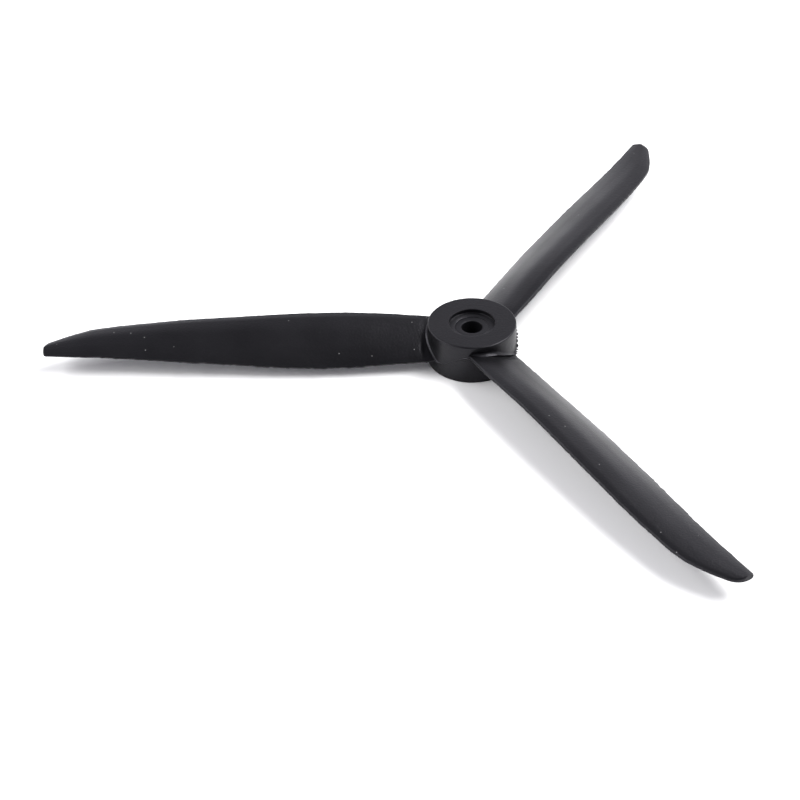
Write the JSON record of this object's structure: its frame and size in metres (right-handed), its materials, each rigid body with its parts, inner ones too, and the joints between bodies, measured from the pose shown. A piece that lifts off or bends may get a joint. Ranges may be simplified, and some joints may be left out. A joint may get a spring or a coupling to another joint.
{
  "type": "model aircraft propeller",
  "caption": "Fixed-pitch plastic propeller for a radio-controlled model, with a washer recess in its hub and a removable bush in its bore.",
  "frame": {"origin": "on the propeller's axis, in the plane of the hub's back face", "axes": "+Z along the axis of rotation, out of the hub's front face; blade_1 points along -X"},
  "size_m": [0.1557, 0.1775, 0.01],
  "materials": {
    "blade_plastic": "satin moulded glass-filled nylon",
    "bush_plastic": "satin moulded nylon"
  },
  "bodies": {
    "propeller": {"hub": "blade_plastic", "blade_1": "blade_plastic", "blade_2": "blade_plastic", "blade_3": "blade_plastic"},
    "bush": {"shaft_bush": "bush_plastic"}
  },
  "joints": [
    {"name": "bush_slide", "type": "slide", "parent": "propeller", "child": "bush", "axis": [0, 0, 1], "range_m": [0, 0.012]}
  ]
}
